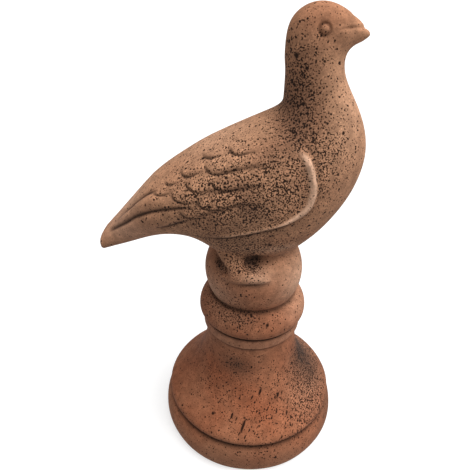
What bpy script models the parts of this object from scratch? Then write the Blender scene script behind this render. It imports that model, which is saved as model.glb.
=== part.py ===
"""Terracotta roof finial: a dove perched on a ball, on a turned stem with a bell-shaped foot.

It is one moulded and fired piece. Metres, +Z up. The origin is on the stem's axis at the underside
of the foot, and the dove faces +X.
"""

import math

import bmesh
import bpy
import numpy as np

MM = 0.001

# The foot's rounded band
FOOT_RADIUS = 84.0 * MM
BAND_HEIGHT = 33.5 * MM
BAND_UNDERCUT = 6.5 * MM  # from the foot's radius in to the edge of the underside
BAND_STEP = 7.5 * MM  # from the foot's radius in to the crease under the bell
BAND_FULLNESS = (0.1, 0.75)  # shares of its height between which the band stays full

# The bell and the neck
BELL_HEIGHT = 80.0 * MM
BELL_SWELL = 13.0 * MM
NECK_RADIUS = 40.8 * MM
BELL_FULLNESS = (0.14, 0.28)  # shares of its height: up to one it swells, and from the other it is a neck

# The flare, the fillet and the ring
FLARE_HEIGHT = 5.0 * MM
FILLET_PROUD = 2.5 * MM
FILLET_HEIGHT = 11.5 * MM
GROOVE_DEPTH = 1.6 * MM
RING_RADIUS = 46.6 * MM
RING_HEIGHT = 24.5 * MM
RING_LIP = (0.4, 0.06)  # the lip's place: shares of the way out to the ring's radius and up its height
RING_FULLNESS = (0.1, 0.8)  # shares of the height over its lip between which the ring stays full

# The ball and the dove on it
BALL_RADIUS = 41.5 * MM
BALL_LIFT = 21.5 * MM  # from the top of the ring up to the ball's centre
BELLY_SINK = 25.5 * MM  # from the top of the ball down to the dove's belly
DOVE_LENGTH = 205.0 * MM  # from the tail to the front of the breast

# Unglazed fired clay
CLAY_COLOUR = (0.42, 0.19, 0.11, 1.0)
CLAY_ROUGHNESS = 0.85

# The carving on the dove
WING_RIM = 3.2 * MM
FEATHER_LIFT = 2.4 * MM
EYE_RADIUS = 3.6 * MM

# Heights along the stem
NECK_TOP = BAND_HEIGHT + BELL_HEIGHT
FLARE_TOP = NECK_TOP + FLARE_HEIGHT
RING_BOTTOM = FLARE_TOP + FILLET_HEIGHT
RING_TOP = RING_BOTTOM + RING_HEIGHT
BALL_CENTRE = RING_TOP + BALL_LIFT
BALL_TOP = BALL_CENTRE + BALL_RADIUS
BELLY_HEIGHT = BALL_TOP - BELLY_SINK

# Fineness of the solids; the wing's steps are gathered at its front rim and its feathers
TURNED_STEPS = 36
BAND_POINTS = 8
BELL_POINTS = 14
RING_POINTS = 8
BALL_POINTS = 11
BODY_RINGS = 37
BODY_SIDES = 32
WING_COLUMNS = 52
WING_ROWS = 19
WING_COLUMN_BENDS = [(0.0, 0.0), (0.12, 0.06), (0.28, 0.28), (0.86, 0.78), (1.0, 1.0)]
WING_ROW_BENDS = [(0.0, 0.0), (0.08, 0.04), (0.3, 0.36), (0.92, 0.95), (1.0, 1.0)]
WING_BORDER_POINTS = 200
CAP_TURNS = np.radians([15, 40, 65])
EYE_SEGMENTS = 10
EYE_RINGS = 6
SEARCH_STEPS = 400  # how finely the body's length is searched for a place
SLOPE_STEP = 0.001  # share of the body's length, and of ten turns in radians, over which a slope is read

# The dove is drawn in millimetres at this length, from the point of its belly over the stem's axis
DRAWN_LENGTH = 205.0
DRAWN_UNIT = DOVE_LENGTH / DRAWN_LENGTH

# Cross sections of the body, each an oval in a plane through its two points:
# x and z on the back, x and z below, half width, squareness, how much wider it is above than below
BODY_SECTIONS = {
    "tail end": (-124.0, 16.0, -122.0, 2.5, 17.0, 2.6, 0.0),
    "tail": (-103.5, 39.0, -103.0, 9.0, 23.0, 2.4, 0.0),
    "rump": (-81.0, 64.0, -71.0, 20.0, 33.0, 2.2, 0.05),
    "loins": (-54.5, 84.0, -46.0, 18.0, 41.0, 2.1, 0.08),
    "back": (-27.0, 100.5, -19.5, 1.0, 45.0, 2.1, 0.05),
    "shoulders": (-1.0, 113.0, 18.5, 0.5, 45.0, 2.1, 0.0),
    "breast": (14.0, 121.5, 60.5, 39.0, 38.0, 2.0, 0.0),
    "collar": (15.5, 129.5, 77.0, 78.0, 29.0, 2.0, -0.05),
    "neck": (15.5, 144.0, 72.5, 111.0, 21.5, 2.0, -0.1),
    "throat": (14.0, 155.5, 56.0, 139.5, 18.0, 2.0, -0.05),
    "jaw": (17.0, 176.0, 54.0, 155.0, 16.0, 2.0, 0.0),
    "crown": (30.5, 185.0, 58.5, 160.3, 14.5, 2.0, 0.0),
    "brow": (43.5, 185.0, 61.5, 161.6, 10.8, 2.0, 0.0),
    "cere": (55.8, 178.0, 63.8, 162.9, 7.6, 2.0, 0.0),
    "beak": (63.0, 171.6, 65.8, 164.4, 5.0, 2.0, 0.0),
    "beak tip": (66.2, 168.6, 66.9, 165.4, 2.6, 2.0, 0.0),
}
TAIL_CAP = 5.0
BEAK_CAP = 1.0

# The wing lies along a line that slopes down to the tail: u runs back along it, v up across it
WING_FRONT = (41.0, 73.0)
WING_SLOPE = math.radians(17.2)
WING_LOWER_EDGE = [
    (-2, 15), (3, -5), (14, -14), (30, -17), (62, -16.5), (85, -13.5), (108, -8), (130, -5), (158, 0)
]
WING_UPPER_EDGE = [(-2, 15), (0, 29), (6, 39), (20, 44), (45, 44), (72, 43), (93, 35), (127, 20), (158, 0)]
WING_BITE = 1.5  # how far the pad's inner face lies inside the body
WING_FIELD = 0.9  # how far the wing stands proud between its rim and its feathers
BORDER_RISE = 2.2  # over this width the lower border rises out of the body
RIM_WIDTH = 3.0
RIM_INSIDE = 9.0  # over this width inside the border the carving grows to its full height
RIM_TOP = (16.0, 34.0)  # the rim fades out between these places up the wing's front
RIM_END = (80.0, 110.0)  # and between these along its lower edge
RIM_TURN = 1.0  # up to this place along the upper edge, the border is still the front's
SHOULDER_FADE = 14.0
TIP_EDGE = 3.5
TIP_START = (78.0, 95.0)  # here the upper edge sharpens from the shoulder's fade to the tip's edge

# Rows of covert feathers: the rearmost one's tip (u, v), then how far along and across the next lies
FEATHER_ROWS = [
    ((83, 39.5), (16, -0.3)),
    ((88, 31.5), (17, -1.2)),
    ((102, 27.0), (19, -3.2)),
    ((115, 22.0), (20, -3.4)),
    ((84, 9.5), (16, -1.6)),
]
FEATHERS_IN_ROW = 4
FEATHER_HALF_WIDTH = 5.2
FEATHER_LENGTH = 19.0
FEATHER_EDGE = 1.7  # over this width a feather drops off at its edge
FEATHER_DOME = 0.4  # share of its height that a feather loses towards its sides
FEATHER_FADE = (26.0, 56.0)  # the feathers melt into the shoulder between these places

# Long quills: each rises to its lower edge, a line of (u, v), and overlaps the quill below it
QUILL_EDGES = [
    [(84, 15), (91, 13.6), (116, 13), (133, 10), (148, 5), (160, 0)],
    [(72, 6), (83, 5), (110, 2), (128, -1), (145, -3)],
]
QUILL_DEPTH = 9.0
QUILL_START = 12.0  # length over which a quill rises out of the wing at its front end
QUILL_EDGE = 1.5  # over this width a quill drops off at its lower edge

EYE_PLACE = (37.0, 172.0)
EYE_SINK = 0.45  # share of the eye's radius that is set into the head

# Leg and foot in relief on the ball, drawn for a ball of this radius, from the ball's centre:
# x, y and z of the middle, then half the length along x and half the depth
DRAWN_BALL = 41.5
LEG_SECTIONS = [
    (-16.0, 20.0, 42.0, 10.0, 7.5),
    (-17.0, 26.0, 34.0, 13.0, 9.0),
    (-16.2, 29.5, 27.0, 10.8, 8.2),
    (-13.0, 33.2, 21.0, 7.3, 6.8),
    (-12.6, 35.6, 15.5, 6.4, 5.8),
    (-12.0, 36.6, 12.0, 4.8, 4.4),
]
# x, y and z of the middle, then half the depth and half the height
FOOT_SECTIONS = [
    (-25.0, 31.4, 10.8, 2.0, 1.6),
    (-20.5, 34.4, 11.8, 3.6, 2.8),
    (-14.0, 37.2, 14.2, 5.0, 5.0),
    (-6.0, 38.4, 15.9, 5.6, 6.0),
    (2.5, 38.6, 15.7, 5.2, 5.0),
    (9.5, 37.6, 14.4, 4.6, 4.0),
    (14.0, 36.2, 13.6, 3.2, 2.3),
]
LEG_SIDES = 12


def smooth_step(value):
    """0 below 0, 1 above 1, and a smooth rise between."""
    t = np.clip(value, 0.0, 1.0)
    return t * t * (3.0 - 2.0 * t)


def cubic(start, handle, far_handle, end, count):
    """Points along a cubic curve with two handles."""
    t = np.linspace(0.0, 1.0, count)[:, None]
    weights = ((1 - t) ** 3, 3 * (1 - t) ** 2 * t, 3 * (1 - t) * t**2, t**3)
    return sum(weight * np.array(point) for weight, point in zip(weights, (start, handle, far_handle, end)))


def smooth_line(points, knots, at):
    """A smooth line through points at their knots, read at other places; its slope at an inner point
    is that of the parabola through it and its two neighbours."""
    points = np.asarray(points, float)
    steps = np.diff(knots)[:, None]
    chords = np.diff(points, axis=0) / steps
    inner = (chords[:-1] * steps[1:] + chords[1:] * steps[:-1]) / (steps[:-1] + steps[1:])
    slopes = np.vstack([chords[:1], inner, chords[-1:]])
    i = np.clip(np.searchsorted(knots, at, side="right") - 1, 0, len(steps) - 1)
    step = steps[i]
    t = (np.asarray(at) - knots[i])[:, None] / step
    return (
        (2 * t**3 - 3 * t**2 + 1) * points[i]
        + (t**3 - 2 * t**2 + t) * step * slopes[i]
        + (3 * t**2 - 2 * t**3) * points[i + 1]
        + (t**3 - t**2) * step * slopes[i + 1]
    )


def line_through(points, at):
    """A smooth line through points, read at shares of its length."""
    lengths = np.linalg.norm(np.diff(np.asarray(points, float), axis=0), axis=1)
    knots = np.concatenate([[0.0], np.cumsum(lengths)])
    return smooth_line(points, knots, at * knots[-1])


def band_profile():
    """The foot's band: from its underside, out over its bulge, to the crease under the bell."""
    bottom = FOOT_RADIUS - BAND_UNDERCUT
    top = FOOT_RADIUS - BAND_STEP
    reach = (4 * FOOT_RADIUS - (bottom + top) / 2) / 3
    start, end = ((reach, share * BAND_HEIGHT) for share in BAND_FULLNESS)
    return cubic((bottom, 0), start, end, (top, BAND_HEIGHT), BAND_POINTS)


def bell_profile():
    """The bell: swelling out over the band, then sweeping in to the neck."""
    rim = FOOT_RADIUS - BAND_STEP
    return cubic(
        (rim, BAND_HEIGHT),
        (rim + BELL_SWELL, BAND_HEIGHT + BELL_FULLNESS[0] * BELL_HEIGHT),
        (NECK_RADIUS, BAND_HEIGHT + BELL_FULLNESS[1] * BELL_HEIGHT),
        (NECK_RADIUS, NECK_TOP),
        BELL_POINTS,
    )


def fillet_profile():
    """The flare above the neck, the plain fillet and the groove under the ring's lip."""
    fillet = NECK_RADIUS + FILLET_PROUD
    return [
        (NECK_RADIUS + FILLET_PROUD / 4, NECK_TOP + FLARE_HEIGHT / 2),
        (fillet, FLARE_TOP),
        (fillet, RING_BOTTOM - GROOVE_DEPTH / 2),
        (fillet - GROOVE_DEPTH, RING_BOTTOM),
    ]


def ring_profile():
    """The ring: from its sharp lower lip, over its bulge, to the crease at the ball."""
    fillet = NECK_RADIUS + FILLET_PROUD
    lip = fillet + RING_LIP[0] * (RING_RADIUS - fillet)
    lip_height = RING_BOTTOM + RING_LIP[1] * RING_HEIGHT
    rise = RING_TOP - lip_height
    top = math.sqrt(BALL_RADIUS**2 - BALL_LIFT**2)
    reach = (4 * RING_RADIUS - (lip + top) / 2) / 3
    start, end = ((reach, lip_height + share * rise) for share in RING_FULLNESS)
    return cubic((lip, lip_height), start, end, (top, RING_TOP), RING_POINTS)


def ball_profile():
    """The ball: from the ring up to its top on the axis."""
    angles = np.linspace(math.asin(-BALL_LIFT / BALL_RADIUS), math.pi / 2, BALL_POINTS)[1:-1]
    side = [(BALL_RADIUS * math.cos(angle), BALL_CENTRE + BALL_RADIUS * math.sin(angle)) for angle in angles]
    return side + [(0.0, BALL_TOP)]


def body_rows(at):
    """The body's section values read along it, with the knots of its sections spaced by their distance."""
    table = np.array(list(BODY_SECTIONS.values()))
    back = np.linalg.norm(np.diff(table[:, 0:2], axis=0), axis=1)
    below = np.linalg.norm(np.diff(table[:, 2:4], axis=0), axis=1)
    knots = np.concatenate([[0.0], np.cumsum(np.sqrt((back + below) / 2))])
    return smooth_line(table, knots, np.asarray(at) * knots[-1])


def body_points(at, turn):
    """Points on the body, at a share of its length from the tail and a turn from the back.

    The section is a superellipse: the cosine and sine of the turn, each raised to 2 over the squareness.
    """
    rows = body_rows(at)
    power = 2.0 / rows[:, 5]
    up = np.sign(np.cos(turn)) * np.abs(np.cos(turn)) ** power
    out = np.sign(np.sin(turn)) * np.abs(np.sin(turn)) ** power
    middle, half = (rows[:, 0:2] + rows[:, 2:4]) / 2, (rows[:, 0:2] - rows[:, 2:4]) / 2
    width = rows[:, 4] * out * (1 + rows[:, 6] * up)
    return np.stack([middle[:, 0] + half[:, 0] * up, width, middle[:, 1] + half[:, 1] * up], axis=1)


def body_place(x, z):
    """Where a point of the side view lies on the body: the share of its length and the turn from the back.

    Each section is a straight line in the side view. The wanted one has the point on it.
    """
    at = np.linspace(0.0, 1.0, SEARCH_STEPS)
    rows = body_rows(at)
    line_x, line_z = rows[:, 0:1] - rows[:, 2:3], rows[:, 1:2] - rows[:, 3:4]
    ahead = line_z * (x - rows[:, 2:3]) - line_x * (z - rows[:, 3:4])
    crossing = np.argmax((ahead[:-1] >= 0) & (ahead[1:] < 0), axis=0)
    each = np.arange(len(x))
    before, after = ahead[crossing, each], ahead[crossing + 1, each]
    place = at[crossing] + (at[1] - at[0]) * before / (before - after)
    row = body_rows(place)
    half_x, half_z = (row[:, 0] - row[:, 2]) / 2, (row[:, 1] - row[:, 3]) / 2
    up = ((x - row[:, 2]) * half_x + (z - row[:, 3]) * half_z) / (half_x**2 + half_z**2) - 1
    up = np.clip(up, -1.0, 1.0)
    return place, np.arccos(np.sign(up) * np.abs(up) ** (row[:, 5] / 2))


def lifted(place, turn, height):
    """Points at a height over the body's skin, along its normal."""
    here = body_points(place, turn)
    along = body_points(place + SLOPE_STEP, turn) - body_points(place - SLOPE_STEP, turn)
    around = body_points(place, turn + 10 * SLOPE_STEP) - body_points(place, turn - 10 * SLOPE_STEP)
    normal = np.cross(along, around)
    normal /= np.linalg.norm(normal, axis=1)[:, None]
    return here + normal * height[:, None]


def distance_to(points, line):
    """Each point's distance to the nearest of a line's points."""
    return np.linalg.norm(points[:, None] - line[None], axis=2).min(axis=1)


def covert_relief(u, v):
    """Rows of overlapping feathers: each rises to its rounded tip and drops off sharply past its edge."""
    relief = np.zeros_like(u)
    for (tip_u, tip_v), (step, rise) in FEATHER_ROWS:
        for k in range(FEATHERS_IN_ROW):
            behind = tip_u - k * step - u
            off = np.abs(v - (tip_v + k * rise)) / FEATHER_HALF_WIDTH
            near_tip = np.clip(1 - behind / FEATHER_HALF_WIDTH, 0, 1)
            edge_left = (np.sqrt(1 - near_tip**2) - off) * FEATHER_HALF_WIDTH
            inside = smooth_step(edge_left / FEATHER_EDGE) * (behind > 0)
            slope = np.clip(1 - behind / FEATHER_LENGTH, 0, 1)
            relief = np.maximum(relief, inside * slope * (1 - FEATHER_DOME * off**2))
    start, end = FEATHER_FADE
    return relief * smooth_step((u - start) / (end - start))


def quill_relief(u, v):
    """Long quills: highest along the lower edge of each, and sloping away above it."""
    relief = np.zeros_like(u)
    for edge in QUILL_EDGES:
        line = np.array(edge)
        above = v - np.interp(u, line[:, 0], line[:, 1])
        fade = smooth_step((u - line[0, 0]) / QUILL_START) * smooth_step(above / QUILL_EDGE + 0.5)
        relief = np.maximum(relief, fade * np.clip(1 - above / QUILL_DEPTH, 0, 1))
    return relief


def wing_relief(points, lower, upper):
    """How far the wing stands over the body, in drawn millimetres.

    A rolled rim follows the front and the lower edge, feathers and quills cover the field,
    and every border is set into the body.
    """
    u, v = points[:, 0], points[:, 1]
    front = upper[:, 0] < RIM_TURN
    to_rim = distance_to(points, np.vstack([lower, upper[front]]))
    to_back = distance_to(points, upper[~front])
    rim_left = 1 - smooth_step((u - RIM_END[0]) / (RIM_END[1] - RIM_END[0]))
    rim_left *= 1 - smooth_step((v - RIM_TOP[0]) / (RIM_TOP[1] - RIM_TOP[0]))
    crest = np.exp(-(((to_rim - RIM_WIDTH) / RIM_WIDTH) ** 2))
    sharp = smooth_step((u - TIP_START[0]) / (TIP_START[1] - TIP_START[0]))
    fade = SHOULDER_FADE + (TIP_EDGE - SHOULDER_FADE) * sharp
    carved = np.maximum(covert_relief(u, v), quill_relief(u, v)) * FEATHER_LIFT / DRAWN_UNIT
    carved *= smooth_step(to_rim / RIM_INSIDE)
    height = WING_FIELD + carved + (WING_RIM / DRAWN_UNIT - WING_FIELD) * crest * rim_left
    rise = smooth_step(to_rim / BORDER_RISE) * smooth_step(to_back / fade)
    return (height + WING_BITE) * rise - WING_BITE


def spread(count, bends):
    """Even steps from 0 to 1, gathered where the bends (share of the steps, share of the way) are flat."""
    steps, ways = np.transpose(bends)
    return np.interp(np.linspace(0.0, 1.0, count), steps, ways)


def on_dove(points):
    """Drawn millimetres on the dove, as metres in place over the ball."""
    return np.asarray(points) * DRAWN_UNIT + np.array([0.0, 0.0, BELLY_HEIGHT])


def on_ball(points):
    """Drawn millimetres beside the ball, as metres in place."""
    return np.asarray(points) * BALL_RADIUS / DRAWN_BALL + np.array([0.0, 0.0, BALL_CENTRE])


def clay():
    """Unglazed fired clay."""
    material = bpy.data.materials.new("terracotta")
    material.use_nodes = True
    shader = material.node_tree.nodes["Principled BSDF"]
    shader.inputs["Base Color"].default_value = CLAY_COLOUR
    shader.inputs["Roughness"].default_value = CLAY_ROUGHNESS
    shader.inputs["Metallic"].default_value = 0.0
    return material


def add_object(name, bm):
    """A finished mesh as an object of the scene, with its faces outwards and smooth."""
    bmesh.ops.recalc_face_normals(bm, faces=bm.faces)
    mesh = bpy.data.meshes.new(name)
    bm.to_mesh(mesh)
    bm.free()
    mesh.shade_smooth()
    made = bpy.data.objects.new(name, mesh)
    bpy.context.scene.collection.objects.link(made)
    return made


def turned_stem():
    """The foot, bell, neck, fillet, ring and ball, turned round the axis."""
    profile = [(0.0, 0.0)] + list(band_profile()) + list(bell_profile())[1:]
    profile += fillet_profile() + list(ring_profile()) + ball_profile()
    bm = bmesh.new()
    points = [bm.verts.new((radius, 0.0, height)) for radius, height in reversed(profile)]
    for upper, lower in zip(points, points[1:]):
        bm.edges.new((upper, lower))
    stem = add_object("finial", bm)
    turn = stem.modifiers.new("turned", "SCREW")
    turn.steps = turn.render_steps = TURNED_STEPS
    turn.use_merge_vertices = True
    turn.merge_threshold = 0.00005
    return stem


def loft(name, rings):
    """A closed solid through rings of points, all of one length, with each end ring filled."""
    bm = bmesh.new()
    loops = [[bm.verts.new(point) for point in ring] for ring in rings]
    for low, high in zip(loops, loops[1:]):
        for i in range(len(low)):
            j = (i + 1) % len(low)
            bm.faces.new((low[i], low[j], high[j], high[i]))
    bm.faces.new(loops[0])
    bm.faces.new(loops[-1])
    return add_object(name, bm)


def end_cap(ring, inner_ring, length):
    """Rings that round off an end: the ring shrinks along a quarter ellipse."""
    middle = ring.mean(axis=0)
    ahead = middle - inner_ring.mean(axis=0)
    ahead /= np.linalg.norm(ahead)
    return [middle + (ring - middle) * math.sin(turn) + ahead * length * math.cos(turn) for turn in CAP_TURNS]


def dove_body():
    """The dove's body, neck and head, from the tail to the beak."""
    turns = np.linspace(0.0, 2 * math.pi, BODY_SIDES, endpoint=False)
    rings = [body_points(np.full(BODY_SIDES, at), turns) for at in np.linspace(0.0, 1.0, BODY_RINGS)]
    tail = end_cap(rings[0], rings[1], TAIL_CAP)
    beak = end_cap(rings[-1], rings[-2], BEAK_CAP)
    return loft("dove body", on_dove(tail + rings + beak[::-1]))


def wing(name, side):
    """A folded wing as a pad on the body, from a grid of places between its lower and upper edges."""
    columns = spread(WING_COLUMNS, WING_COLUMN_BENDS)
    lower, upper = line_through(WING_LOWER_EDGE, columns), line_through(WING_UPPER_EDGE, columns)
    across = spread(WING_ROWS, WING_ROW_BENDS)[:, None, None]
    places = (lower + (upper - lower) * across).reshape(-1, 2)
    x = WING_FRONT[0] - places[:, 0] * math.cos(WING_SLOPE) - places[:, 1] * math.sin(WING_SLOPE)
    z = WING_FRONT[1] - places[:, 0] * math.sin(WING_SLOPE) + places[:, 1] * math.cos(WING_SLOPE)
    along, turn = body_place(x, z)
    inside = np.full((WING_ROWS, WING_COLUMNS), -WING_BITE)
    border_steps = np.linspace(0.0, 1.0, WING_BORDER_POINTS)
    borders = (line_through(edge, border_steps) for edge in (WING_LOWER_EDGE, WING_UPPER_EDGE))
    outside = wing_relief(places, *borders)
    outside = np.pad(outside.reshape(inside.shape)[1:-1, 1:-1], 1, constant_values=-WING_BITE)
    bm = bmesh.new()
    for height in (outside, inside):
        skin = on_dove(lifted(along, side * turn, height.ravel()))
        grid = [[bm.verts.new(point) for point in row] for row in skin.reshape(WING_ROWS, WING_COLUMNS, 3)]
        for low, high in zip(grid, grid[1:]):
            for i in range(WING_COLUMNS - 1):
                bm.faces.new((low[i], low[i + 1], high[i + 1], high[i]))
    bmesh.ops.remove_doubles(bm, verts=bm.verts, dist=1e-6)
    return add_object(name, bm)


def leg(name, side):
    """A thigh and shank that run down the ball's side."""
    turns = np.linspace(0.0, 2 * math.pi, LEG_SIDES, endpoint=False)
    rings = [
        np.stack([x + half_x * np.cos(turns), side * (y + depth * np.sin(turns)), 0 * turns + z], axis=1)
        for x, y, z, half_x, depth in LEG_SECTIONS
    ]
    return loft(name, on_ball(rings))


def foot(name, side):
    """A foot along the ball's side, from the hind claw to the toe."""
    turns = np.linspace(0.0, 2 * math.pi, LEG_SIDES, endpoint=False)
    rings = [
        np.stack([0 * turns + x, side * (y + depth * np.cos(turns)), z + half_z * np.sin(turns)], axis=1)
        for x, y, z, depth, half_z in FOOT_SECTIONS
    ]
    return loft(name, on_ball(rings))


def eye(name, side):
    """A round bead set into the side of the head."""
    along, turn = body_place(*(np.array([value]) for value in EYE_PLACE))
    sink = np.array([-EYE_SINK * EYE_RADIUS / DRAWN_UNIT])
    centre = on_dove(lifted(along, side * turn, sink))[0]
    bm = bmesh.new()
    bmesh.ops.create_uvsphere(bm, u_segments=EYE_SEGMENTS, v_segments=EYE_RINGS, radius=EYE_RADIUS)
    bmesh.ops.translate(bm, verts=bm.verts, vec=centre)
    return add_object(name, bm)


def grow_on(base, piece):
    """Make a piece part of the base by a union; the piece stays in the scene only as its guide."""
    piece.hide_render = True
    piece.display_type = "WIRE"
    union = base.modifiers.new(piece.name, "BOOLEAN")
    union.operation = "UNION"
    union.solver = "EXACT"
    union.object = piece


def main():
    """One piece of fired clay: the turned stem, with the dove grown onto its ball."""
    for thing in list(bpy.data.objects):
        bpy.data.objects.remove(thing)
    finial = turned_stem()
    finial.data.materials.append(clay())
    grow_on(finial, dove_body())
    for side_name, side in (("left", 1), ("right", -1)):
        grow_on(finial, wing(f"{side_name} wing", side))
        grow_on(finial, leg(f"{side_name} leg", side))
        grow_on(finial, foot(f"{side_name} foot", side))
        grow_on(finial, eye(f"{side_name} eye", side))


main()
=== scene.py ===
"""Looks of the terracotta roof finial: a dove perched on a ball, on a turned stem with a bell foot.

The finial is one casting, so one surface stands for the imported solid. Dove, ball, legs and feet are
worked out as closed grids of points and grown together into one even skin, which the wings, feathers,
eyes and beak are then carved in. It meets the turned stem in the crease at the foot of the ball.
Lengths are millimetres on a finial DRAWN_HEIGHT tall; UNIT turns them into the frame's metres.
"""

import math

import bmesh
import bpy
import numpy as np
from mathutils import Matrix, Vector


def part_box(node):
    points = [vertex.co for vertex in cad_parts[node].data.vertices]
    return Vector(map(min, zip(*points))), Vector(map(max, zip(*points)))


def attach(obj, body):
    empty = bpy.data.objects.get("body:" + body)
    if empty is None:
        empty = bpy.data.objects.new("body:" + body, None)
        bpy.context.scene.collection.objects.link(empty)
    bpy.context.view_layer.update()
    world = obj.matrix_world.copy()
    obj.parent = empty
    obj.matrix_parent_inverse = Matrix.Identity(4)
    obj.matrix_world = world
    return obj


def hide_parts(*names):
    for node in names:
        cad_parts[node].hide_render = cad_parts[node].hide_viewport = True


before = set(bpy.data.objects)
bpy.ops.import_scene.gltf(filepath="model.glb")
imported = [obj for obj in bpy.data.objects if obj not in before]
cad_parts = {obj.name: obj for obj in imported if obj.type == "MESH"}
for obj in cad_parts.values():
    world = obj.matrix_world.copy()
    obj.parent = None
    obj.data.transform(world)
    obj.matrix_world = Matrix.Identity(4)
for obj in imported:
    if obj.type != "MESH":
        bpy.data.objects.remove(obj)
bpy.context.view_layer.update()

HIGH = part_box("finial")[1]
DRAWN_HEIGHT = 377.4
UNIT = HIGH.z / DRAWN_HEIGHT

# The stem, from the foot up. A fullness is how high a curve's two handles lie, as shares of its height
FOOT_RADIUS = HIGH.y / UNIT
BAND_HEIGHT = 33.5
BAND_UNDERCUT = 6.5  # how far inside the band's fullest line its foot ends
BAND_STEP = 7.5  # and its top
BAND_FULLNESS = (0.1, 0.75)
BELL_HEIGHT = 80.0
BELL_SWELL = 13.0  # how far out over the rim the bell's lower handle lies
BELL_LIP = 0.7  # how far the bell's lower edge stands over the crease
CREASE_DEPTH = 1.3
CREASE_HEIGHT = 2.2
BELL_FULLNESS = (0.14, 0.28)
NECK_RADIUS = 40.8
NECK_TOP = BAND_HEIGHT + BELL_HEIGHT
COVE_START = 3.0  # the cove over the neck begins straight up over this height
COVE_STEP = 1.4  # and ends this far inside the fillet
COVE_HANDLE = (1.8, 1.0)  # how far inside and under the fillet it is drawn to
FILLET_RADIUS = 43.3
FILLET_BOTTOM = NECK_TOP + 5.0
FILLET_SLOPE = 0.3  # how far its underside rises on the way out
RING_BOTTOM = FILLET_BOTTOM + 11.5
GROOVE_DEPTH = 2.2
GROOVE_HEIGHT = 2.0
GROOVE_TOP = 0.2  # how far over the ring's bottom the groove is deepest
RING_RADIUS = 46.6
RING_HEIGHT = 24.5
RING_LIP = (0.4, 0.06)
RING_FULLNESS = (0.1, 0.8)
RING_TOP = RING_BOTTOM + RING_HEIGHT
BALL_RADIUS = 41.5
BALL_CENTRE = RING_TOP + 21.5
EDGE_ROUNDING = 0.45  # how far the stem's edges and creases are rounded
SEAT_DEPTH = 5.0  # how far the stem's top reaches into the ball
SEAT_DROP = 1.0  # how far it slopes down there
OUTLINE_STEP = 0.15  # spacing of the places where the whole outline is read
ROUNDING_REACH = 3  # half the width of the averaging window, in roundings
POINTS_STRAIGHT = 0.35  # how thickly the outline's points lie where it is straight
POINTS_BENT = 1.5  # and how much more at most where it bends
TURNED_POINTS = 140
TURNED_STEPS = 200

# The slight unevenness of hand work: the waves' ways and starts, their size and height on the stem and
# on the skin, and the heights between which it grows in over the foot, dies away under the ring's top,
# and grows in over the ring
UNEVEN_WAYS = [(1.0, 0.31, 0.17), (-0.42, 1.13, 0.36), (0.27, -0.55, 1.21), (0.81, 0.74, -0.92)]
UNEVEN_STARTS = [0.4, 2.1, 3.9, 5.2]
UNEVEN_STEM = (55.0, 0.35)
UNEVEN_SKIN = (38.0, 0.25)
UNEVEN_FOOT = (0.0, 8.0)
UNEVEN_TOP = (RING_TOP, RING_TOP - 6)
UNEVEN_BALL = (RING_TOP + 3, RING_TOP + 12)

# The dove, drawn from the point of its belly over the stem's axis; it faces +X
BELLY_HEIGHT = BALL_CENTRE + BALL_RADIUS - 25.5
# Cross sections of the body: x and z on the back, x and z below, half width, squareness, and how much
# wider it is above than below
BODY_SECTIONS = {
    "tail end": (-124.0, 16.0, -122.0, 2.5, 17.0, 2.6, 0.0),
    "tail": (-103.5, 39.0, -103.0, 9.0, 23.0, 2.4, 0.0),
    "rump": (-81.0, 64.0, -71.0, 20.0, 33.0, 2.2, 0.05),
    "loins": (-54.5, 84.0, -46.0, 18.0, 41.0, 2.1, 0.08),
    "back": (-27.0, 100.5, -19.5, 1.0, 45.0, 2.1, 0.05),
    "shoulders": (-1.0, 113.0, 18.5, 0.5, 45.0, 2.1, 0.0),
    "breast": (14.0, 121.5, 60.5, 39.0, 38.0, 2.0, 0.0),
    "collar": (15.5, 129.5, 77.0, 78.0, 29.0, 2.0, -0.05),
    "neck": (15.5, 144.0, 72.5, 111.0, 21.5, 2.0, -0.1),
    "throat": (14.0, 155.5, 56.0, 139.5, 18.0, 2.0, -0.05),
    "jaw": (17.0, 176.0, 54.0, 155.0, 16.0, 2.0, 0.0),
    "crown": (30.5, 185.0, 58.5, 160.3, 14.5, 2.0, 0.0),
    "brow": (43.5, 184.4, 61.5, 161.6, 10.8, 2.0, 0.0),
    "cere": (55.7, 177.6, 63.8, 162.9, 7.6, 2.0, 0.0),
    "beak": (63.0, 171.6, 65.8, 164.4, 5.0, 2.0, 0.0),
    "beak tip": (66.2, 168.6, 66.9, 165.4, 2.6, 2.0, 0.0),
}
TAIL_CAP = 5.0
BEAK_CAP = 1.0
CAP_TURNS = np.radians([6, 14, 24, 36, 50, 66, 80])
BLEND_STEP = 0.018  # spacing of the blended places, as a share of the body's length
BLEND_WEIGHTS = (1, 4, 6, 4, 1)
BODY_RINGS = 300
BODY_SIDES = 200
BALL_RINGS = 90
SKIN_STEP = 0.62  # spacing of the even skin's points

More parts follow.
